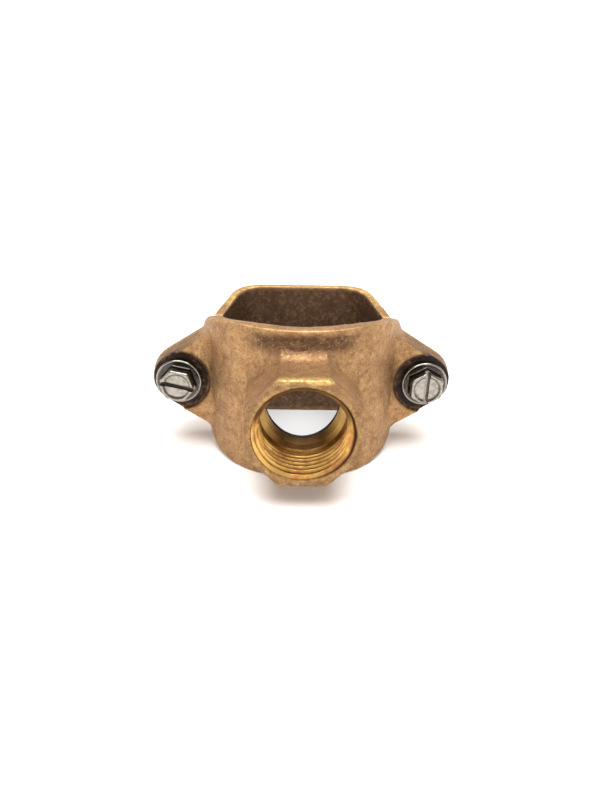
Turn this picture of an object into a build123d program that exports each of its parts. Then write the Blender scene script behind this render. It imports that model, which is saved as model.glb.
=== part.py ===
# Tapping saddle: a cast bronze clamp for a 48.3 mm (1 1/2 inch) pipe with a tapped 3/4 inch outlet.
#
# The pipe runs along Z and the outlet points along -Y. The origin is where the axis of a pipe seated
# in the outlet half meets the axis of the outlet. The back half is drawn in until the ears touch,
# as when no pipe is in the saddle; on a pipe it stands off along +Y.

import os
from math import cos, radians, sin, sqrt, tan

from build123d import *

# ---- driving dimensions, in millimetres and degrees ----

pipe_radius = 24.13             # outside radius of the pipe

outlet_ear_gap = 3.0            # pipe axis to the outlet half's split face
strap_ear_gap = 5.0             # pipe axis to the back half's split face, when it grips the pipe
outlet_wall = 4.2               # outlet half, at the middle of its arc
outlet_side_wall = 6.0          # outlet half, at the split face
strap_wall = 3.0                # back half
strap_lean = 16.8               # how far the back half's sides lean in from straight
strap_side_clearance = 0.4      # between a seated pipe and those sides
strap_corner_radius = 9.0       # inside corners of the back half

side_half_height = 18.8         # rim above the outlet axis, at the split face
middle_half_height = 22.9       # rim above the outlet axis, at the front and at the back
crown_run = 18.0                # from the split face to where the rim reaches its full height
crown_blend_radius = 25.0       # rounds the rim where its slope ends
shoulder_run = 1.4              # width of the slope from the outlet half's rim down to its ears
shoulder_slope = 46.0
shoulder_half_length = 6.0      # how far that slope reaches each way from the rim

boss_across_flats = 31.2        # eight-sided outlet
boss_face_distance = 43.8       # pipe axis to the outlet's face
boss_blend_radius = 4.5
thread_radius = 13.335          # 3/4 inch pipe thread, over its roots
thread_depth = 11.5
thread_chamfer = 0.5
tap_bore_radius = 12.1          # smooth bore past the last thread
tap_bore_run = 2.2
shoulder_angle = 45.0           # slope from the smooth bore in to the port
port_radius = 10.85             # hole through to the pipe

gasket_radius = 14.6            # outside of the ring round the port
gasket_seat_depth = 1.2         # recess in the inner wall
gasket_stand_out = 0.4          # how far the loose ring stands in from the inner wall
gasket_clearance = 0.1

screw_spacing = 75.0            # between the two screw axes
ear_end_radius = 9.1            # at the split face
ear_edge_slope = 32.0           # of the ear's top and bottom edges
ear_root_distance = 22.0        # where those edges end, inside the body
ear_draft = 10.0
outlet_ear_thickness = 7.2
back_ear_thickness = 5.4
ear_blend_radius = 4.0          # outlet half
strap_blend_radius = 3.0        # back half
spotface_radius = 9.3
spotface_depth = 1.4

screw_radius = 3.175            # 1/4 inch
screw_length = 22.2             # 7/8 inch under the head
screw_tip_chamfer = 0.8
screw_hole_clearance = 0.35     # radial, in the outlet half's ear
tapped_hole_clearance = 0.05    # radial, in the back half's ear
flange_radius = 6.95
flange_thickness = 1.8
flange_edge = 0.35              # chamfer
hex_across_flats = 9.5
hex_height = 3.9
hex_corner_chamfer = 0.5
indent_radius = 3.7
indent_depth = 0.7
slot_width = 1.5
slot_depth = 1.9
screw_turns = {"left_screw": 78.0, "right_screw": 0.0}   # where each slot stopped, from upright
screw_sides = {"left_screw": -1, "right_screw": 1}

# ---- places worked out from them ----

split_y = -outlet_ear_gap                       # the face where the halves meet
strap_axis_y = split_y - strap_ear_gap          # the back half's own pipe axis, drawn in
strap_back_y = strap_axis_y + pipe_radius       # inside of its flat back
seat_y = split_y - outlet_ear_thickness + spotface_depth     # where a screw head sits
screw_x = screw_spacing / 2
outlet_face_y = -boss_face_distance
shoulder_y = outlet_face_y + thread_depth + tap_bore_run
shoulder_length = (tap_bore_radius - port_radius) * tan(radians(shoulder_angle))
blank_half_height = 2 * middle_half_height      # the castings' bodies, before their rims are cut
over = 2.0                                      # how far a cutter runs past what it cuts
reach = 4 * screw_spacing                       # wider than the whole saddle

# The outlet half's outer arc runs through the middle of its wall and both ends of its split face.
inner_half_width = sqrt(pipe_radius**2 - outlet_ear_gap**2)
outer_half_width = inner_half_width + outlet_side_wall
outer_depth = pipe_radius + outlet_wall - outlet_ear_gap
outer_radius = (outer_half_width**2 + outer_depth**2) / (2 * outer_depth)
outer_axis_y = outer_radius - pipe_radius - outlet_wall


# The ears' edges touch the round ear ends and run in to the body.
ear_root_half_height = (
    ear_end_radius + (screw_x - ear_root_distance) * sin(radians(ear_edge_slope))
) / cos(radians(ear_edge_slope))


def ear_outline():
    """Both ears as one plate: round ends, with straight edges running in to the body."""
    with BuildSketch() as plate:
        Rectangle(2 * ear_root_distance, 2 * ear_root_half_height)
        with Locations((-screw_x, 0), (screw_x, 0)):
            Circle(ear_end_radius)
        make_hull()
    return plate.sketch


def strap_half_width(y, wall):
    """Half the back half's width at y, along its leaning side, for a given wall."""
    reach_out = pipe_radius + strap_side_clearance + wall
    return (reach_out - (y - strap_axis_y) * sin(radians(strap_lean))) / cos(radians(strap_lean))


def strap_outline(wall):
    """The back half's profile, from the split face to its flat back."""
    back_y = strap_back_y + wall
    split_width = strap_half_width(split_y, wall)
    back_width = strap_half_width(back_y, wall)
    with BuildSketch() as outline:
        with BuildLine():
            Polyline(
                (-split_width, split_y),
                (-back_width, back_y),
                (back_width, back_y),
                (split_width, split_y),
                close=True,
            )
        make_face()
        back_corners = outline.vertices().group_by(Axis.Y)[-1]
        fillet(back_corners, radius=strap_corner_radius + wall)
    return outline.sketch


def rim_profile(side):
    """A half seen along X, with its sloping rims; side is -1 for the outlet half, 1 for the back."""
    crown_y = split_y + side * crown_run
    with BuildSketch() as profile:
        with BuildLine():
            Polyline(
                (split_y, -side_half_height),
                (crown_y, -middle_half_height),
                (side * reach, -middle_half_height),
                (side * reach, middle_half_height),
                (crown_y, middle_half_height),
                (split_y, side_half_height),
                close=True,
            )
        make_face()
        crowns = profile.vertices().filter_by(lambda v: abs(v.X - crown_y) < 0.001)
        fillet(crowns, radius=crown_blend_radius)
    return profile.sketch


def gasket_space(slack):
    """What a ring of the gasket's outside radius takes out of the inner wall, grown by slack."""
    with BuildPart() as space:
        with BuildSketch(Plane.XZ):
            Circle(gasket_radius + slack)
        extrude(amount=boss_face_distance)
        with BuildSketch(Plane.XY.offset(-middle_half_height)):
            Circle(pipe_radius + gasket_seat_depth + slack)
        extrude(amount=2 * middle_half_height, mode=Mode.INTERSECT)
    return space.part


# ---- outlet half: one sand casting, bored and tapped ----

with BuildPart() as outlet_half:
    # Half-round body, solid until the pipe's space is cut and over-long until its rims are.
    with BuildSketch(Plane.XY.offset(-blank_half_height)):
        with Locations((0, outer_axis_y)):
            Circle(outer_radius)
        with Locations((0, split_y)):
            Rectangle(reach, reach, align=(Align.CENTER, Align.MAX), mode=Mode.INTERSECT)
    extrude(amount=2 * blank_half_height)

    # Ears, drafted towards the front, and blended in.
    with BuildSketch(Plane.XZ.offset(-split_y)):
        add(ear_outline())
    extrude(amount=outlet_ear_thickness, taper=ear_draft)
    ear_corners = outlet_half.edges().filter_by(lambda e: e.is_interior)
    fillet(ear_corners, radius=ear_blend_radius)

    # Eight-sided outlet, blended in.
    with BuildSketch(Plane.XZ.offset(boss_face_distance)):
        RegularPolygon(boss_across_flats / 2, 8, major_radius=False, rotation=22.5)
    extrude(amount=-(boss_face_distance - pipe_radius / 2))
    boss_corners = outlet_half.edges().filter_by(
        lambda e: e.is_interior and e.center().Y < -pipe_radius and abs(e.center().X) < outer_half_width
    )
    fillet(boss_corners, radius=boss_blend_radius)

    # Sloping rims.
    with BuildSketch(Plane.YZ.offset(-reach / 2)):
        add(rim_profile(-1))
    extrude(amount=reach, mode=Mode.INTERSECT)

    # Shoulders, sloped from the rims to the ears.
    for across in (-1, 1):
        for up in (-1, 1):
            shoulder = Plane(
                origin=(across * (outer_half_width - shoulder_run), split_y, up * side_half_height),
                x_dir=(across * cos(radians(shoulder_slope)), 0, -up * sin(radians(shoulder_slope))),
                z_dir=(0, -across * up, 0),
            )
            with BuildSketch(shoulder):
                Rectangle(
                    2 * shoulder_half_length,
                    shoulder_half_length,
                    align=(Align.CENTER, Align.MIN),
                )
            extrude(amount=reach / 2, both=True, mode=Mode.SUBTRACT)

    # Space for the pipe, and the ring's seat round the port.
    with BuildSketch(Plane.XY.offset(-middle_half_height - over)):
        Circle(pipe_radius)
    extrude(amount=2 * (middle_half_height + over), mode=Mode.SUBTRACT)
    add(gasket_space(gasket_clearance), mode=Mode.SUBTRACT)

    # Tapped bore, smooth bore, shoulder and port, turned in one profile about the outlet's axis.
    with BuildSketch(Plane.XY):
        with BuildLine():
            Polyline(
                (0, outlet_face_y - over),
                (thread_radius + thread_chamfer + over, outlet_face_y - over),
                (thread_radius, outlet_face_y + thread_chamfer),
                (thread_radius, outlet_face_y + thread_depth),
                (tap_bore_radius, outlet_face_y + thread_depth),
                (tap_bore_radius, shoulder_y),
                (port_radius, shoulder_y + shoulder_length),
                (port_radius, 0),
                (0, 0),
                close=True,
            )
        make_face()
    revolve(axis=Axis.Y, mode=Mode.SUBTRACT)

    # Spot faces and clearance holes for the screws.
    with BuildSketch(Plane.XZ.offset(-seat_y)):
        with Locations((-screw_x, 0), (screw_x, 0)):
            Circle(spotface_radius)
    extrude(amount=outlet_ear_thickness, mode=Mode.SUBTRACT)
    with BuildSketch(Plane.XZ.offset(-split_y)):
        with Locations((-screw_x, 0), (screw_x, 0)):
            Circle(screw_radius + screw_hole_clearance)
    extrude(amount=outlet_ear_thickness, mode=Mode.SUBTRACT)

# ---- back half: one sand casting with a tapped hole in each ear ----

with BuildPart() as back_half:
    # Leaning sides and a flat back, solid and over-long until the pipe's space and its rims are cut.
    with BuildSketch(Plane.XY.offset(-blank_half_height)):
        add(strap_outline(strap_wall))
    extrude(amount=2 * blank_half_height)

    # Ears, drafted towards the back, and blended in.
    with BuildSketch(Plane.XZ.offset(-split_y)):
        add(ear_outline())
    extrude(amount=-back_ear_thickness, taper=ear_draft)
    ear_corners = back_half.edges().filter_by(lambda e: e.is_interior)
    fillet(ear_corners, radius=strap_blend_radius)

    # Sloping rims.
    with BuildSketch(Plane.YZ.offset(-reach / 2)):
        add(rim_profile(1))
    extrude(amount=reach, mode=Mode.INTERSECT)

    # Space for the pipe, flat at the back.
    with BuildSketch(Plane.XY.offset(-middle_half_height - over)):
        add(strap_outline(0))
    extrude(amount=2 * (middle_half_height + over), mode=Mode.SUBTRACT)

    # Tapped holes.
    with BuildSketch(Plane.XZ.offset(-split_y)):
        with Locations((-screw_x, 0), (screw_x, 0)):
            Circle(screw_radius + tapped_hole_clearance)
    extrude(amount=-back_ear_thickness, mode=Mode.SUBTRACT)

# ---- gasket: a rubber ring curved to the pipe, in its seat round the port ----

with BuildPart() as gasket:
    add(gasket_space(0))
    with BuildSketch(Plane.XZ):
        Circle(port_radius)
    extrude(amount=boss_face_distance, mode=Mode.SUBTRACT)
    with BuildSketch(Plane.XY.offset(-middle_half_height)):
        Circle(pipe_radius - gasket_stand_out)
    extrude(amount=2 * middle_half_height, mode=Mode.SUBTRACT)

# ---- hand the castings and the ring over ----

os.makedirs("parts", exist_ok=True)

outlet_half.part.label = "outlet_half"
export_step(outlet_half.part, "parts/outlet_half.step")
back_half.part.label = "back_half"
export_step(back_half.part, "parts/back_half.step")
gasket.part.label = "gasket"
export_step(gasket.part, "parts/gasket.step")

# ---- screws: slotted hex heads with an upset rim, on a round flange ----

for name, turn in screw_turns.items():
    seat = Plane(
        origin=(screw_sides[name] * screw_x, seat_y, 0),
        x_dir=(cos(radians(turn)), 0, sin(radians(turn))),
        z_dir=(0, -1, 0),
    )
    head_top = seat.offset(flange_thickness + hex_height)

    with BuildPart() as screw:
        with BuildSketch(seat):
            Circle(flange_radius)
        extrude(amount=flange_thickness)
        flange_rim = screw.edges().filter_by(GeomType.CIRCLE).sort_by(Axis.Y)[0]
        chamfer(flange_rim, length=flange_edge)

        with BuildSketch(seat.offset(flange_thickness)):
            RegularPolygon(hex_across_flats / 2, 6, major_radius=False, rotation=30)
        extrude(amount=hex_height)
        hex_rim = screw.faces().sort_by(Axis.Y)[0].edges()
        chamfer(hex_rim, length=hex_corner_chamfer)

        # Round indent, with the slot running out through two of the corners.
        with BuildSketch(head_top):
            Circle(indent_radius)
        extrude(amount=-indent_depth, mode=Mode.SUBTRACT)
        with BuildSketch(head_top):
            Rectangle(slot_width, 2 * hex_across_flats)
        extrude(amount=-slot_depth, mode=Mode.SUBTRACT)

        with BuildSketch(seat):
            Circle(screw_radius)
        extrude(amount=-screw_length)
        tip_rim = screw.edges().sort_by(Axis.Y)[-1]
        chamfer(tip_rim, length=screw_tip_chamfer)

    screw.part.label = name
    export_step(screw.part, f"parts/{name}.step")
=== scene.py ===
import math

import bmesh
import bpy
import numpy as np
from mathutils import Matrix, Vector, noise


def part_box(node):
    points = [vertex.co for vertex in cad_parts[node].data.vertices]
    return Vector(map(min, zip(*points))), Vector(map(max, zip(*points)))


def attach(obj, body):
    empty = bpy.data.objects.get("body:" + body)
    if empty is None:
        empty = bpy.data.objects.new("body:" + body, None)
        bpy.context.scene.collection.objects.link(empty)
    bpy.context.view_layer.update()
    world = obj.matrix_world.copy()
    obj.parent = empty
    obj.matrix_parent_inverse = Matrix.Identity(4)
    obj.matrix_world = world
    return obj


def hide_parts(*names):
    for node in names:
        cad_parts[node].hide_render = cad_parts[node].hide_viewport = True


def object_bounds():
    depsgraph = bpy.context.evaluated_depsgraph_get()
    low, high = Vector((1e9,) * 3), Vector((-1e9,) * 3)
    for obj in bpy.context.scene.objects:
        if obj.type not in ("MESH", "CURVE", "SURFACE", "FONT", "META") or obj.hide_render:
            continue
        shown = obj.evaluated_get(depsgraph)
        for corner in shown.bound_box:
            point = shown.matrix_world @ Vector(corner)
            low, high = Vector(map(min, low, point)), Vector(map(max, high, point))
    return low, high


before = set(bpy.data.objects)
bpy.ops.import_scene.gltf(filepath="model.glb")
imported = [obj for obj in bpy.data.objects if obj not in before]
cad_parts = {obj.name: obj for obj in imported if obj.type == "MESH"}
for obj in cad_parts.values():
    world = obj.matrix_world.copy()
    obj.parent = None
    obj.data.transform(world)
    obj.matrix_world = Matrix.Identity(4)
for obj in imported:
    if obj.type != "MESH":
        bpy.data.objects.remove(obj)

# ---- The outlet half ----
# One sand casting in bronze: half a collar, two ears and the eight-sided outlet. Its skin keeps the
# grain of the sand, its edges are worn bright in the tumbler, with a painted highlight on the outlet's
# top edge, and its inside and the pockets round the screws are darkened with painted shade.

MM = 0.001
cad_box = [list(corner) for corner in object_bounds()]

SKIN_STEP = 0.4 * MM            # spacing of the skin's points
WELD = 0.001 * MM               # closes the solid's seams
EASING = 6                      # passes that round the pattern's edges
WORN_EASING = 14                # further passes where an edge is well worn
BEND_EASING = 4                 # passes that even out the measure of how sharp the edges are
SKIN_INSET = 0.09 * MM          # keeps the grain inside the casting's true size
GRAIN_RISE = 0.08 * MM          # how far the grain stands up
GRAINS = ((0.9 * MM, 0.6), (2.4 * MM, 0.5), (6 * MM, 0.6))      # its sizes and their shares

SAND = 0.55 * MM                # foundry sand is about 0.25 mm, drawn coarser so that it shows
LUMP = 1.2 * MM
STAIN = 2.6 * MM
PATCH = 7 * MM
BUMP_RISE = 0.26 * MM

screw_low, screw_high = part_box("right_screw")
screw_x = (screw_low.x + screw_high.x) / 2
HEAD_RISE = 5.7 * MM            # flange and hexagon
seat_y = screw_low.y + HEAD_RISE
face_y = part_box("outlet_half")[0].y

SMOOTH = {"interpolation_type": "SMOOTHSTEP"}
PRODUCT = {"operation": "MULTIPLY"}


def linear(hex_colour):
    """An sRGB hex colour as linear red, green, blue and 1."""
    parts = [int(hex_colour[i:i + 2], 16) / 255 for i in (1, 3, 5)]
    return [c / 12.92 if c <= 0.04045 else ((c + 0.055) / 1.055) ** 2.4 for c in parts] + [1.0]


def add_node(tree, kind, result=None, settings=None, **inputs):
    """Adds a shader node; inputs are linked to sockets or set to values. Gives the named output."""
    node = tree.nodes.new("ShaderNode" + kind)
    for key, value in (settings or {}).items():
        setattr(node, key, value)
    sockets = {socket.identifier.replace(" ", "_"): socket for socket in node.inputs}
    for key, value in inputs.items():
        if isinstance(value, bpy.types.NodeSocket):
            tree.links.new(value, sockets[key])
        else:
            sockets[key].default_value = value
    return {socket.identifier: socket for socket in node.outputs}.get(result)


def new_finish(name):
    """An empty material, its tree, and each spot's place in the object, in metres."""
    finish = bpy.data.materials.new(name)
    finish.use_nodes = True
    tree = finish.node_tree
    tree.nodes.clear()
    return finish, tree, add_node(tree, "TexCoord", "Object")


def coated(tree, below, hex_colour, value=None, span=(0, 1), amount=(0, 1), where=None):
    """A colour laid over the one below, by an amount that follows a value across a span, and a mask."""
    share = where
    if value is not None:
        share = add_node(tree, "MapRange", "Result", SMOOTH, Value=value, From_Min=span[0],
                         From_Max=span[1], To_Min=amount[0], To_Max=amount[1])
        if where is not None:
            share = add_node(tree, "Math", "Value", PRODUCT, Value=share, Value_001=where)
    return add_node(tree, "Mix", "Result_Color", {"data_type": "RGBA"}, Factor_Float=share,
                    A_Color=below, B_Color=linear(hex_colour))


def cast_bronze():
    """Leaded bronze as it leaves the sand: tan-brown, matt in the grain and golden on worn edges."""
    finish, tree, place = new_finish("cast_bronze")
    patches = add_node(tree, "TexNoise", "Fac", Vector=place, Scale=1 / PATCH, Detail=3.0, Roughness=0.6)
    stains = add_node(tree, "TexNoise", "Fac", Vector=place, Scale=1 / STAIN, Detail=4.0, Roughness=0.65)
    lumps = add_node(tree, "TexNoise", "Fac", Vector=place, Scale=1 / LUMP, Detail=3.0, Roughness=0.6)
    sand = add_node(tree, "TexNoise", "Fac", Vector=place, Scale=1 / SAND, Detail=3.0, Roughness=0.7)
    wear = add_node(tree, "Attribute", "Fac", {"attribute_name": "edge_wear"})
    skin_and_shade = add_node(tree, "Attribute", "Fac", {"attribute_name": "skin_and_shade"})
    band_and_shade = add_node(tree, "Attribute", "Fac", {"attribute_name": "band_and_shade"})

    # The metal's own colour, its stains, and the dirt that sits between the grains.
    colour = coated(tree, linear("#95724E"), "#A48057", patches, (0.35, 0.68))
    colour = coated(tree, colour, "#83603F", stains, (0.46, 0.66), (0, 0.85))
    colour = coated(tree, colour, "#B99B6B", stains, (0.32, 0.44), (0.5, 0))
    colour = coated(tree, colour, "#7A5839", lumps, (0.50, 0.68), (0, 0.5))
    # A darker band below the top rim, with painted shade on the outlet's front face and the ears' tops.
    colour = coated(tree, colour, "#553C29", where=band_and_shade)
    colour = coated(tree, colour, "#5C3F2B", sand, (0.54, 0.72), (0, 0.65))
    colour = coated(tree, colour, "#BE9F72", sand, (0.28, 0.44), (0.5, 0))

    # Bright metal where edges are worn, with painted highlights on the outlet's top edge and the back's top
    # rim;
    # a darker skin inside the castings, deepened with painted shade, and painted shade round the screws.
    colour = coated(tree, colour, "#DDBA72", lumps, (0.34, 0.62), (1, 0.35), where=wear)
    colour = coated(tree, colour, "#46342A", where=skin_and_shade)
    colour = coated(tree, colour, "#94755A", lumps, (0.46, 0.68), (0, 0.8), where=skin_and_shade)
    # Near black: painted shade in the pockets round the screw heads.
    colour = coated(tree, colour, "#251B15", skin_and_shade, (0.75, 1.0))

    rough = add_node(tree, "MapRange", "Result", SMOOTH, Value=sand, From_Min=0.3, From_Max=0.7,
                     To_Min=0.42, To_Max=0.62)
    height = add_node(tree, "Math", "Value", {"operation": "MULTIPLY_ADD"}, Value=sand, Value_001=0.5,
                      Value_002=lumps)
    grain = add_node(tree, "Bump", "Normal", Height=height, Strength=0.8, Distance=BUMP_RISE)
    shader = add_node(tree, "BsdfPrincipled", "BSDF", Base_Color=colour, Roughness=rough, Metallic=0.8,
                      Normal=grain)
    add_node(tree, "OutputMaterial", Surface=shader)
    return finish


bronze = cast_bronze()


def fading(values, full, none):
    """1 where a value is at or past full, 0 at or past none, and even between."""
    return np.clip((values - none) / (full - none), 0, 1)


def toward(points, normals, centre):
    """How far each point's surface faces a centre line along Z, from -1 to 1."""
    away = points[:, :2] - centre
    away /= np.linalg.norm(away, axis=1)[:, None] + 1e-9
    return -(normals[:, :2] * away).sum(1)


def gathered(items, what, width=3, kind=float):
    """One row of numbers for each item of a mesh."""
    values = np.empty(len(items) * width, dtype=kind)
    items.foreach_get(what, values)
    return values.reshape(-1, width)


def mark(mesh, name, values):
    """Keeps one number for each point, for the finish to read."""
    kept = mesh.attributes.new(name, "FLOAT", "POINT")
    kept.data.foreach_set("value", values.astype(np.float32))


def even_copy(name, node):
    """A copy of a casting's solid, as a fine even mesh with eased edges."""
    blank = bpy.data.objects.new(name + "_blank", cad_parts[node].data.copy())
    bpy.context.scene.collection.objects.link(blank)
    weld = bmesh.new()
    weld.from_mesh(blank.data)
    bmesh.ops.remove_doubles(weld, verts=weld.verts, dist=WELD)
    weld.to_mesh(blank.data)
    weld.free()
    even = blank.modifiers.new("even", "REMESH")
    even.mode = "VOXEL"
    even.voxel_size = SKIN_STEP
    ease = blank.modifiers.new("ease", "SMOOTH")
    ease.factor = 0.5
    ease.iterations = EASING
    mesh = bpy.data.meshes.new_from_object(blank.evaluated_get(bpy.context.evaluated_depsgraph_get()))
    bpy.data.objects.remove(blank)
    mesh.name = name
    mesh.materials.clear()
    return mesh


def cast_skin(name, node, worn):
    """A casting's skin, with what its finish needs to know: points, normals, bends and grain.

    worn tells, for each point, how much further its edges have been rounded, from 0 to 1."""
    mesh = even_copy(name, node)
    skin = bpy.data.objects.new(name, mesh)
    bpy.context.scene.collection.objects.link(skin)
    points = gathered(mesh.vertices, "co")
    normals = gathered(mesh.vertex_normals, "vector")
    ends = gathered(mesh.edges, "vertices", 2, np.int64)
    links = np.bincount(ends.ravel(), minlength=len(points))

    def averaged(values):
        """Each point's values averaged over its neighbours."""
        total = np.zeros_like(values)
        np.add.at(total, ends[:, 0], values[ends[:, 1]])
        np.add.at(total, ends[:, 1], values[ends[:, 0]])
        return total / (links if values.ndim == 1 else links[:, None])

    rounding = worn(points)[:, None] * 0.5
    for _ in range(WORN_EASING):
        points = points + (averaged(points) - points) * rounding
    bend = ((averaged(points) - points) * normals).sum(1) / SKIN_STEP
    for _ in range(BEND_EASING):
        bend = averaged(bend)

    mesh.vertices.foreach_set("co", points.ravel())
    mesh.update()
    normals = gathered(mesh.vertex_normals, "vector")
    grain = np.array([sum(noise.noise(Vector(p) / size) * share for size, share in GRAINS) for p in points])
    points = points + normals * (grain * GRAIN_RISE - SKIN_INSET)[:, None]
    return skin, points, normals, bend, grain


def edge_wear(bend):
    """How brightly each point is worn, from how far it stands out from its neighbours."""
    return fading(-bend, 0.115, 0.035)


def dress(skin, points):
    """Gives a casting its final points and its bronze."""
    skin.data.vertices.foreach_set("co", points.ravel())
    skin.data.update()
    skin.data.shade_smooth()
    skin.data.materials.append(bronze)


THREAD_ROOT_R = 13.335 * MM     # the tapped hole
BOSS_ROOT_Y = -24 * MM          # the outlet stands out of the body from here
EAR_X = 24 * MM                 # the ears stand out of the body from here
POCKET_R = 9.3 * MM             # the flat that is cut round each screw head
RIM_Z = 22 * MM                 # just inside the rims


def worn_outlet(points):
    """The outlet's front edges are worn round, and so are its shoulders above and below the ears."""
    x, y, z = np.abs(points.T)
    from_axis = np.hypot(x, z)
    front = fading(points[:, 1], -31 * MM, BOSS_ROOT_Y) * fading(from_axis, 14.9 * MM, 14.5 * MM)
    shoulder = fading(x, 28 * MM, 25 * MM) * fading(points[:, 1], -8 * MM, -11 * MM)
    return np.clip(front + shoulder * 0.6, 0, 1)


outlet_skin, points, normals, bend, grain = cast_skin("outlet_casting", "outlet_half", worn_outlet)

# The bore's wall gives way a little to the machined surface that lines it.
from_axis = np.hypot(points[:, 0], points[:, 2])
in_bore = (from_axis < THREAD_ROOT_R + 0.9 * MM) & (points[:, 1] < BOSS_ROOT_Y)
push = fading(from_axis, THREAD_ROOT_R + 0.4 * MM, THREAD_ROOT_R + 0.9 * MM) * in_bore * 0.45 * MM
push *= fading(points[:, 1], face_y + 1.6 * MM, face_y + 0.9 * MM)
points[:, 0] += points[:, 0] / from_axis * push
points[:, 2] += points[:, 2] / from_axis * push

# Painted shade round the screws; inside the body below its rims a darker skin with painted shade;
# worn bright on the edges, with a painted highlight on the outlet's top edge.
x, y, z = points.T
from_screw = np.hypot(np.abs(x) - screw_x, z)
on_ear_front = (y > -18 * MM) & (normals[:, 1] < -0.2) & (np.abs(x) > EAR_X)
# Painted shade in the pocket round each screw head, and on its wall.
pocket_shade = fading(from_screw, 8.5 * MM, 10.6 * MM) * on_ear_front * (0.97 + 0.2 * grain)
pocket_wall_shade = (from_screw < POCKET_R + 0.4 * MM) & (y > -16 * MM) & (y < seat_y + 0.6 * MM)
inside = toward(points, normals, np.array([0.0, 0.0])) > 0.35
below = fading(np.abs(z), RIM_Z - 1.5 * MM, RIM_Z)
# A painted highlight along the outlet's top front edge, added to the edge wear.
top_edge_highlight = fading(z, 14.9 * MM, 14.2 * MM) * fading(y, -42.2 * MM, -40.8 * MM)
wear_and_highlight = np.maximum(edge_wear(bend), top_edge_highlight)
mark(outlet_skin.data, "edge_wear", wear_and_highlight * (0.75 + 0.5 * grain) * (from_screw > POCKET_R + 0.8 * MM))
# Inside the body, a darker skin and painted shade, deeper away from the rims.
dark = np.maximum(pocket_shade, pocket_wall_shade * 0.45) + inside * (0.3 + 0.5 * below)
mark(outlet_skin.data, "skin_and_shade", np.clip(dark, 0, 1))

# Below the top rim a soft darker band, pitted a little rougher than the rest.
band = fading(z, 18.0 * MM, 15.6 * MM) * fading(z, 20.6 * MM, RIM_Z)
band *= fading(np.abs(x), 11 * MM, 17 * MM) * (y < -20 * MM) * (normals[:, 1] < 0)
crumbs = np.array([noise.noise(Vector(p) / (1.3 * MM)) if b else 0.0 for p, b in zip(points, band > 0)])
crumbs = np.clip(crumbs * 1.6, -1, 1) * band
points += normals * np.minimum(crumbs, 0)[:, None] * 0.16 * MM
# Painted shade: the outlet's front face is darkened, and so are the ears' upward faces.
face_shade = points[:, 1] < face_y + 0.6 * MM
ear_top_shade = fading(np.abs(points[:, 0]), 34 * MM, 30 * MM) * np.clip(normals[:, 2] * 1.5, 0, 1) * 0.45
mark(outlet_skin.data, "band_and_shade", np.clip(band * (0.95 - 0.3 * crumbs) + face_shade * 0.36 + ear_top_shade, 0, 1))
dress(outlet_skin, points)
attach(outlet_skin, "saddle")
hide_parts("outlet_half")

# ---- The outlet's machined bore ----
# The bright surface that the drill and the tap leave in the casting: a tapered pipe thread of 14
# turns to the inch, the smooth drilled bore past it, a cone and the port through to the pipe.

THREAD_PITCH = 25.4 / 14 * MM
THREAD_LENGTH = 11.5 * MM
THREAD_TAPER = 1 / 32           # radius lost for each unit of depth
CREST_R = 12.0 * MM
MOUTH_R = 13.85 * MM
MOUTH_SLOPE = 1.3               # of the chamfer that leads into the thread
LIP = 0.5 * MM                  # how deep the cast lip runs in before the thread starts
DRILLED_R = 12.03 * MM
DRILLED_END = 13.72 * MM        # depth below the face, as is the next
CONE_END = 14.95 * MM
PORT_R = 10.85 * MM - 0.04 * MM     # the port, less the lining's own clearance
SEAT_R = 25.35 * MM             # the gasket's seat, about the pipe's axis
SEAT_LAP = 0.9 * MM             # how far the bright metal runs out onto the seat
LINING_R = 14.3 * MM            # the lining's back, hidden in the casting
LINING_END = 15 * MM
CORNER = 0.1 * MM               # rounds the lining's own corners
TURNS = 288                     # points round each ring
RING_STEP = 0.1 * MM            # between the thread's rings
LINE_WIDTH = 1.1 * MM           # the turned lines, drawn wide enough to show
TARNISH = 4 * MM


def ring_skin(name, rings, close_ends=False):
    """A mesh drawn through rings of points, each joined to the next."""
    count = len(rings[0])
    points = [p for ring in rings for p in ring]
    faces = []
    for r in range(len(rings) - 1):
        for i in range(count):
            j = (i + 1) % count
            faces.append((r * count + i, r * count + j, (r + 1) * count + j, (r + 1) * count + i))
    if close_ends:
        faces.append(tuple(range(count - 1, -1, -1)))
        faces.append(tuple((len(rings) - 1) * count + i for i in range(count)))
    mesh = bpy.data.meshes.new(name)
    mesh.from_pydata(points, [], faces)
    facing = bmesh.new()
    facing.from_mesh(mesh)
    bmesh.ops.recalc_face_normals(facing, faces=facing.faces)
    facing.to_mesh(mesh)
    facing.free()
    mesh.shade_smooth()
    made = bpy.data.objects.new(name, mesh)
    bpy.context.scene.collection.objects.link(made)
    return made


def thread_height(phase):
    """How far a thread stands between its root and its crest, from 0 to 1, once round."""
    wave = np.abs(2 * (phase % 1.0) - 1)
    return np.clip((wave - 0.08) / 0.84, 0, 1)


turn = np.arange(TURNS) / TURNS * 2 * math.pi


def outlet_ring(radius, y):
    """A ring of points about the outlet's axis; its radius and its y may change round it."""
    radius, y = np.broadcast_to(radius, TURNS), np.broadcast_to(y, TURNS)
    return [(r * math.cos(t), at, r * math.sin(t)) for r, at, t in zip(radius, y, turn)]


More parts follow.
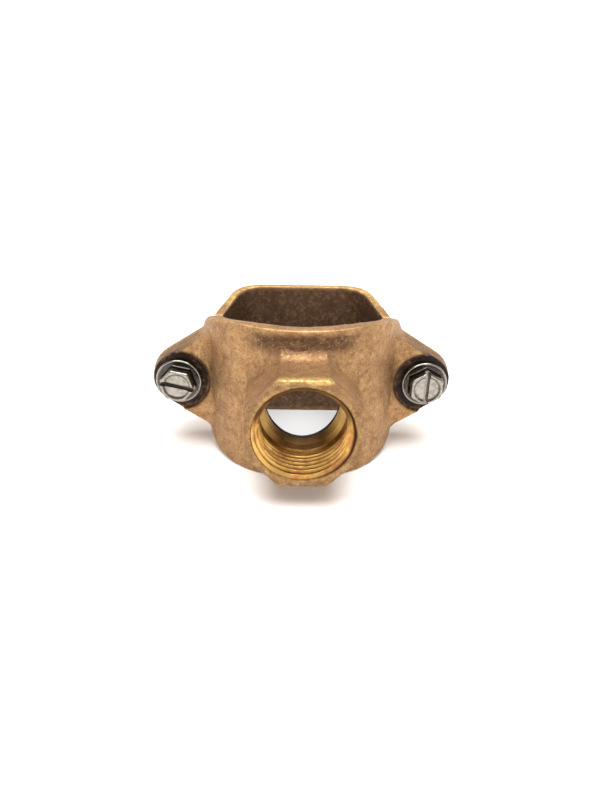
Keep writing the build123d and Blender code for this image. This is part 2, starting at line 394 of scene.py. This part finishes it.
# Each ring of the lining, its painted shade, and how polished it is, with its painted sheen.
plain = np.zeros(TURNS)
lining = []
steps = int(THREAD_LENGTH / RING_STEP)
for s in range(steps + 1):
    deep = LIP + s / steps * (THREAD_LENGTH - LIP)
    root = THREAD_ROOT_R - 0.03 * MM - deep * THREAD_TAPER
    crest = CREST_R - deep * THREAD_TAPER / 2
    ridge = thread_height(deep / THREAD_PITCH - turn / (2 * math.pi))
    radius = np.maximum(root + (crest - root) * ridge, MOUTH_R - (deep - LIP) * MOUTH_SLOPE)
    fade = min(1, (THREAD_LENGTH - deep) / THREAD_PITCH)    # the last turn runs out
    radius = radius * fade + DRILLED_R * (1 - fade)
    # Painted shade on the upper side near the mouth, and in the thread's roots.
    shaded = np.clip(np.sin(turn) * 2.5, 0, 1) * fading(deep, 2.2 * MM, 4.0 * MM) * 0.8
    lining_shade = np.maximum(np.clip(1.35 - ridge * 1.8, 0, 1) * fade, shaded)
    lining.append((outlet_ring(radius, face_y + deep), lining_shade, plain))

low_side = np.clip(-np.sin(turn) * 2.2 - 0.9, 0, 1) * 0.75      # it stays in the shade, and dull
# The cone and port: painted light on their sides, painted shade low down.
for radius, deep, lining_shade, polish_and_sheen in (
    (DRILLED_R, THREAD_LENGTH + 2 * CORNER, plain, plain),
    (DRILLED_R, DRILLED_END - CORNER, plain, plain),
    (DRILLED_R - 0.06 * MM, DRILLED_END + 0.06 * MM, low_side, 1 - low_side),
    (PORT_R + 0.08 * MM, CONE_END - CORNER, low_side, 1 - low_side),
    (PORT_R, CONE_END + 0.08 * MM, low_side, 1 - low_side),
):
    lining.append((outlet_ring(radius, face_y + deep), lining_shade, polish_and_sheen))
for radius in (PORT_R, PORT_R + SEAT_LAP):
    on_seat = -np.sqrt(SEAT_R ** 2 - (radius * np.cos(turn)) ** 2)
    lining.append((outlet_ring(radius, on_seat), low_side, 1 - low_side))
for deep in (LINING_END, LIP + CORNER):
    lining.append((outlet_ring(LINING_R, face_y + deep), plain, plain))
lining.append((lining[0][0], plain, plain))

rings, lining_shades, polish_and_sheen_rings = zip(*lining)
bore_lining = ring_skin("outlet_thread", rings)
mark(bore_lining.data, "lining_shade", np.concatenate(lining_shades))
mark(bore_lining.data, "polish_and_sheen", np.concatenate(polish_and_sheen_rings))


def machined_bronze():
    """The same bronze where a tool has cut it: golden and bright, with fine turned lines."""
    finish, tree, place = new_finish("machined_bronze")
    lines = add_node(tree, "TexWave", "Fac", {"bands_direction": "Y"}, Vector=place,
                     Scale=1 / LINE_WIDTH, Distortion=0.6, Detail=2.0)
    tarnish = add_node(tree, "TexNoise", "Fac", Vector=place, Scale=1 / TARNISH, Detail=4.0, Roughness=0.6)
    lining_shade = add_node(tree, "Attribute", "Fac", {"attribute_name": "lining_shade"})
    polish_and_sheen = add_node(tree, "Attribute", "Fac", {"attribute_name": "polish_and_sheen"})
    colour = coated(tree, linear("#D0A55C"), "#A87344", tarnish, (0.4, 0.7))
    # Painted light on the polished cone and port where they are lit.
    colour = coated(tree, colour, "#FBD587", where=polish_and_sheen)
    # Painted shade in the thread's roots, near the top of the mouth and low in the cone and port.
    colour = coated(tree, colour, "#3A2014", where=lining_shade)
    rough = add_node(tree, "MapRange", "Result", SMOOTH, Value=tarnish, From_Min=0.35, From_Max=0.7,
                     To_Min=0.34, To_Max=0.48)
    # The polished cone throws light about between its walls, so it is drawn brighter than bare metal.
    metal = add_node(tree, "MapRange", "Result", SMOOTH, Value=polish_and_sheen, From_Min=0, From_Max=1,
                     To_Min=1.0, To_Max=0.1)
    cut = add_node(tree, "Bump", "Normal", Height=lines, Strength=0.05, Distance=0.02 * MM)
    shader = add_node(tree, "BsdfPrincipled", "BSDF", Base_Color=colour, Roughness=rough,
                      Metallic=metal, Normal=cut)
    add_node(tree, "OutputMaterial", Surface=shader)
    return finish


bore_lining.data.materials.append(machined_bronze())
bore_lining.data.set_sharp_from_angle(angle=math.radians(50))
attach(bore_lining, "saddle")

# ---- The gasket ----
# A ring of black nitrile rubber, moulded to the pipe's curve and held in its seat round the port.
# Only its edge shows, as a thin dark line inside the port.

BLOOM = 1.5 * MM


def black_rubber():
    """Nitrile rubber from a mould: nearly black, with a dull bloom."""
    finish, tree, place = new_finish("black_rubber")
    bloom = add_node(tree, "TexNoise", "Fac", Vector=place, Scale=1 / BLOOM, Detail=4.0)
    colour = coated(tree, linear("#17161A"), "#2A282B", bloom, (0.35, 0.75))
    rough = add_node(tree, "MapRange", "Result", SMOOTH, Value=bloom, From_Min=0.3, From_Max=0.7,
                     To_Min=0.55, To_Max=0.75)
    pores = add_node(tree, "Bump", "Normal", Height=bloom, Strength=0.2, Distance=0.05 * MM)
    shader = add_node(tree, "BsdfPrincipled", "BSDF", Base_Color=colour, Roughness=rough, Normal=pores)
    add_node(tree, "OutputMaterial", Surface=shader)
    return finish


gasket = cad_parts["gasket"]
gasket.data.materials.clear()
gasket.data.materials.append(black_rubber())

# ---- The back half ----
# The second casting, in the same bronze and sand: leaning sides and a flat back, with two ears that
# the screws thread into. Its inside is never cut and keeps a darker skin, deepened with painted shade
# away from the rims; its top rim carries a painted highlight.

INNER_X = 24.6 * MM             # the widest that the strap is inside
STRAP_RIM_Z = 22.3 * MM


def worn_back(points):
    """Only the rims of the strap are worn, and only a little."""
    return fading(np.abs(points[:, 2]), 17 * MM, 14 * MM) * fading(points[:, 1], 6 * MM, 3 * MM) * 0.3


back_skin, points, normals, bend, grain = cast_skin("back_casting", "back_half", worn_back)
x, y, z = points.T
inside = (toward(points, normals, np.array([0.0, 2.0 * MM])) > 0.35) & (np.abs(x) < INNER_X)
below = fading(np.abs(z), STRAP_RIM_Z - 1.2 * MM, STRAP_RIM_Z)
# A painted highlight on the back's upward-facing top rim, added to its edge wear.
rim_highlight = fading(normals[:, 2], 0.8, 0.5) * (z > 20 * MM) * fading(y, 5 * MM, 2 * MM) * 0.7
mark(back_skin.data, "edge_wear", np.maximum(edge_wear(bend), rim_highlight) * (0.75 + 0.5 * grain))
# A darker skin inside, deepened with painted shade away from the rims.
mark(back_skin.data, "skin_and_shade", inside * (0.2 + 0.55 * below))
dress(back_skin, points)
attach(back_skin, "back")
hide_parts("back_half")

# ---- The screws ----
# Two stainless steel screws, a quarter inch and 20 turns to the inch. The hex head is cold-headed
# with its flange in one piece, dished and slotted on top; the thread is rolled.

SCUFF = 1.3 * MM

# The screw's own sizes are in millimetres: it is drawn head up at the origin, then put in its place.
FLANGE_R = 6.95
FLANGE_H = 1.8
HEX_FLAT = 4.75                 # half the size across flats
HEX_H = 3.9
TOP = FLANGE_H + HEX_H
DISH_R = 4.1
DISH_H = 0.7
SLOT_W = 1.5
SLOT_H = 1.9
SLOT_RUN = 14                   # the saw runs right through the head
EDGE_R = 0.09
SHANK_R = 3.175
SHANK_ROOT_R = 2.42
SHANK_L = 22.2
SHANK_PITCH = 1.27
BARE_L = 1.6                    # below the head, before the thread
TIP_L = 0.9
HEAD_TURNS = 216
SHANK_TURNS = 72
SHANK_STEPS = 250


def stainless_steel():
    """Cold-headed stainless steel: bright and neutral, with soft scuffs from the barrel."""
    finish, tree, place = new_finish("stainless_steel")
    scuffs = add_node(tree, "TexNoise", "Fac", Vector=place, Scale=1 / SCUFF, Detail=5.0, Roughness=0.65)
    head_shade = add_node(tree, "Attribute", "Fac", {"attribute_name": "head_shade"})
    colour = coated(tree, linear("#99948B"), "#78736B", scuffs, (0.4, 0.7))
    # Painted shade and dark reflection on the hex flanks, broken by a painted band of reflected light;
    # painted shade in the slot and on the dish's wall.
    colour = coated(tree, colour, "#2B2825", where=head_shade)
    rough = add_node(tree, "MapRange", "Result", SMOOTH, Value=scuffs, From_Min=0.35, From_Max=0.7,
                     To_Min=0.16, To_Max=0.28)
    dents = add_node(tree, "Bump", "Normal", Height=scuffs, Strength=0.05, Distance=0.04 * MM)
    shader = add_node(tree, "BsdfPrincipled", "BSDF", Base_Color=colour, Roughness=rough, Metallic=1.0,
                      Normal=dents)
    add_node(tree, "OutputMaterial", Surface=shader)
    return finish


around = np.arange(HEAD_TURNS) / HEAD_TURNS * 2 * math.pi
from_corner = (around - math.pi / 2) % (math.pi / 3)
to_flat = 1 / np.cos(from_corner - math.pi / 6)      # a hexagon's outline, corners up and down


def head_circle(radius):
    """A round outline."""
    return np.full(HEAD_TURNS, radius)


def head_hexagon(flat, corner):
    """A hexagon of that half width across flats, with its corners cut back to a radius."""
    hexagon = flat * to_flat
    return np.minimum(hexagon, corner + (hexagon - corner) * 0.15)


# The head's outlines and their heights, from the middle of the dish out and down to the seat.
head_profile = [
    (head_circle(0.02), TOP - DISH_H),
    (head_circle(1.3), TOP - DISH_H + 0.03),
    (head_circle(2.4), TOP - DISH_H + 0.08),
    (head_circle(3.3), TOP - DISH_H + 0.17),
    (head_circle(3.5), TOP - DISH_H + 0.22),
    (head_circle(DISH_R - 0.15), TOP - 0.16),
    (head_circle(DISH_R), TOP - 0.04),
    (head_circle(DISH_R + 0.12), TOP),
    (head_hexagon(HEX_FLAT - 0.45, 4.75), TOP),
    (head_hexagon(HEX_FLAT - 0.22, 5.0), TOP - 0.08),
    (head_hexagon(HEX_FLAT - 0.06, 5.2), TOP - 0.3),
    (head_hexagon(HEX_FLAT, 5.36), TOP - 0.6),
    (head_hexagon(HEX_FLAT, 5.4), FLANGE_H + 0.5),
    (head_hexagon(HEX_FLAT + 0.05, 5.45), FLANGE_H + 0.2),
    (head_hexagon(HEX_FLAT + 0.25, 5.6), FLANGE_H - 0.02),
    (head_circle(6.2), FLANGE_H - 0.1),
    (head_circle(6.4), FLANGE_H - 0.05),
    (head_circle(6.6), FLANGE_H),
    (head_circle(6.8), FLANGE_H - 0.08),
    (head_circle(FLANGE_R - 0.03), FLANGE_H - 0.3),
    (head_circle(FLANGE_R), FLANGE_H - 0.5),
    (head_circle(FLANGE_R), 0.4),
    (head_circle(FLANGE_R - 0.1), 0.15),
    (head_circle(FLANGE_R - 0.35), 0.02),
    (head_circle(3.0), 0.02),
    (head_circle(0.02), 0.02),
]


def screw_head():
    """The head's mesh, slotted by a saw and eased, with painted shade in its slot and dish and on its
    flanks.
    """
    rings = [[(r * math.cos(t), r * math.sin(t), h) for r, t in zip(outline, around)]
             for outline, h in head_profile]
    head = ring_skin("head_blank", rings, close_ends=True)
    block = bmesh.new()
    bmesh.ops.create_cube(
        block, size=1,
        matrix=Matrix.Translation((0, 0, TOP)) @ Matrix.Diagonal((SLOT_W, SLOT_RUN, 2 * SLOT_H, 1)),
    )
    saw_mesh = bpy.data.meshes.new("slot_saw")
    block.to_mesh(saw_mesh)
    block.free()
    saw = bpy.data.objects.new("slot_saw", saw_mesh)
    bpy.context.scene.collection.objects.link(saw)
    slot = head.modifiers.new("slot", "BOOLEAN")
    slot.object = saw
    slot.operation = "DIFFERENCE"
    slot.solver = "EXACT"
    soften = head.modifiers.new("soften", "BEVEL")
    soften.width = EDGE_R
    soften.segments = 2
    soften.limit_method = "ANGLE"
    soften.angle_limit = math.radians(50)
    mesh = bpy.data.meshes.new_from_object(head.evaluated_get(bpy.context.evaluated_depsgraph_get()))
    bpy.data.objects.remove(saw)
    bpy.data.objects.remove(head)

    spots = gathered(mesh.vertices, "co")
    height, out = spots[:, 2], np.hypot(spots[:, 0], spots[:, 1])
    # Painted dark reflection on the hex flanks with a painted bright band across them, and painted shade in
    # the slot and on the dish's wall.
    flank_shade = fading(height, TOP - 0.7, TOP - 0.2) * fading(out, 6.2, 6.7) * (out > HEX_FLAT - 0.5)
    reflected_band = fading(np.abs(height - FLANGE_H - 1.4), 0.5, 0.9) * (out < 5.6)
    in_slot = (height < TOP - DISH_H - 0.3) & (out < HEX_FLAT) & (height > FLANGE_H)
    dish_wall = fading(np.abs(out - 3.75), 0.2, 0.4) * (height < TOP - 0.1) * (height > TOP - DISH_H) * 0.6
    mark(mesh, "head_shade", np.maximum.reduce([flank_shade * (0.85 - 0.75 * reflected_band), in_slot * 0.4, dish_wall]))
    return mesh


def screw_shank():
    """The shank's mesh: a bare neck, the rolled thread and the chamfered tip."""
    turn = np.arange(SHANK_TURNS) / SHANK_TURNS * 2 * math.pi
    rings = []
    for s in range(SHANK_STEPS + 1):
        deep = SHANK_L * s / SHANK_STEPS
        ridge = 1 - thread_height(-deep / SHANK_PITCH - turn / (2 * math.pi))
        grown = min(1.0, max(0.0, (deep - BARE_L) / 1.2))
        radius = SHANK_R - 0.02 - (SHANK_R - SHANK_ROOT_R) * ridge * grown
        radius = np.minimum(radius, SHANK_R - 0.02 - max(0.0, deep - (SHANK_L - TIP_L)))
        z = 0.3 if s == 0 else -deep        # the first ring reaches up into the flange
        rings.append([(r * math.cos(t), r * math.sin(t), z) for r, t in zip(radius, turn)])
    shank = ring_skin("shank", rings, close_ends=True)
    mesh = shank.data
    bpy.data.objects.remove(shank)
    return mesh


# Both screws are made alike, head and shank in one.
screw = bmesh.new()
screw.from_mesh(screw_head())
screw.from_mesh(screw_shank())
steel = stainless_steel()


def make_screw(name, node, side, turned, body):
    """One screw, its slot turned from upright by an angle, its head seated on the ear."""
    across = Vector((math.cos(turned), 0, math.sin(turned)))
    along = Vector((-math.sin(turned), 0, math.cos(turned)))
    place = Matrix.Translation((side * screw_x, seat_y, 0)) @ Matrix((
        (across.x, along.x, 0, 0), (across.y, along.y, -1, 0), (across.z, along.z, 0, 0), (0, 0, 0, 1),
    )) @ Matrix.Scale(MM, 4)
    mesh = bpy.data.meshes.new(name)
    screw.to_mesh(mesh)
    mesh.transform(place)
    mesh.materials.append(steel)
    mesh.shade_smooth()
    mesh.set_sharp_from_angle(angle=math.radians(40))
    head = bpy.data.objects.new(name, mesh)
    bpy.context.scene.collection.objects.link(head)
    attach(head, body)
    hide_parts(node)


make_screw("left_hex_screw", "left_screw", -1, math.radians(78), "left_fastener")
make_screw("right_hex_screw", "right_screw", 1, 0.0, "right_fastener")
screw.free()

# ---- The table and the light ----
# A plain sheet of white paper lies under the saddle and curves up far behind it. One large soft light
# hangs over it, and the pale walls of the room give the rest.

PAPER_R = 1.2                   # flat as far as this, in metres
PAPER_BEND = 0.8
PAPER_TURNS = 96
PAPER_STEPS = 12
PAINTED_SHADOW_SPAN = (18 * MM, 28 * MM)       # a painted shadow: the paper is painted greyer inside the saddle
FAR = (0.05, 0.6)               # and runs out to plain white

lean = np.arange(PAPER_STEPS + 1) / PAPER_STEPS * math.radians(85)
paper_rings = [
    [(r * math.cos(t), r * math.sin(t), z) for t in np.arange(PAPER_TURNS) / PAPER_TURNS * 2 * math.pi]
    for r, z in zip(PAPER_R + PAPER_BEND * np.sin(lean), PAPER_BEND - PAPER_BEND * np.cos(lean))
]
paper_mesh = bpy.data.meshes.new("sweep")
paper_mesh.from_pydata(
    [p for ring in paper_rings for p in ring], [],
    [tuple(range(PAPER_TURNS))] + [
        tuple(PAPER_TURNS * (k + up) + (i + on) % PAPER_TURNS for up, on in ((0, 0), (1, 0), (1, 1), (0, 1)))
        for k in range(PAPER_STEPS) for i in range(PAPER_TURNS)
    ],
)
paper_mesh.shade_smooth()
paper_mesh.polygons[0].use_smooth = False
sweep = bpy.data.objects.new("sweep", paper_mesh)
sweep.location = (0, 0, cad_box[0][2])
bpy.context.scene.collection.objects.link(sweep)


def white_paper():
    """Matt white card, painted grey near the saddle as a shadow, and glowing to white away from it."""
    finish, tree, place = new_finish("white_paper")
    distance = add_node(tree, "VectorMath", "Value", {"operation": "LENGTH"}, Vector=place)
    # Painted shadow: greyer inside and round the saddle.
    colour = coated(tree, linear("#CBCDCE"), "#F7F6F5", distance, PAINTED_SHADOW_SPAN)
    glow = add_node(tree, "MapRange", "Result", SMOOTH, Value=distance, From_Min=FAR[0], From_Max=FAR[1],
                    To_Min=0.0, To_Max=0.8)
    shader = add_node(tree, "BsdfPrincipled", "BSDF", Base_Color=colour, Roughness=0.8,
                      Emission_Color=linear("#FFFFFF"), Emission_Strength=glow)
    add_node(tree, "OutputMaterial", Surface=shader)
    return finish


sweep.data.materials.append(white_paper())

room = bpy.data.worlds.new("room")
bpy.context.scene.world = room
room.use_nodes = True
tree = room.node_tree
tree.nodes.clear()
way = add_node(tree, "SeparateXYZ", "Y", Vector=add_node(tree, "TexCoord", "Generated"))
bright = add_node(tree, "MapRange", "Result", SMOOTH, Value=way, From_Min=-0.75, From_Max=0.3,
                  To_Min=0.48, To_Max=0.52)
walls = add_node(tree, "Background", "Background", Color=linear("#FFF3EA"), Strength=bright)
add_node(tree, "OutputWorld", Surface=walls)

lamp = bpy.data.lights.new("overhead", "AREA")
lamp.size = 0.55
lamp.energy = 6.2
overhead = bpy.data.objects.new("overhead", lamp)
overhead.location = (0.0, -0.08, 0.5)
overhead.rotation_euler = (-overhead.location).to_track_quat("-Z", "Y").to_euler()
bpy.context.scene.collection.objects.link(overhead)

# ---- The camera ----
# It stands in front of the outlet, a little under 200 mm away, and looks down at about 25 degrees.
# Its lens is a short one, so the outlet looks large against the ears.

CAMERA_AT = Vector((-3.461, -172.366, 73.219)) * MM
LOOK_DOWN = 0.442               # angles in radians
LOOK_RIGHT = 0.018
TILT = 0.019
camera = bpy.data.cameras.new("camera")
camera.sensor_width = 36
camera.lens = 26.657
camera.clip_start = 10 * MM
viewer = bpy.data.objects.new("camera", camera)
viewer.matrix_world = (
    Matrix.Translation(CAMERA_AT) @ Matrix.Rotation(-LOOK_RIGHT, 4, "Z")
    @ Matrix.Rotation(math.pi / 2 - LOOK_DOWN, 4, "X") @ Matrix.Rotation(TILT, 4, "Z")
)
bpy.context.scene.collection.objects.link(viewer)
bpy.context.scene.camera = viewer
bpy.context.scene.view_settings.view_transform = "Standard"
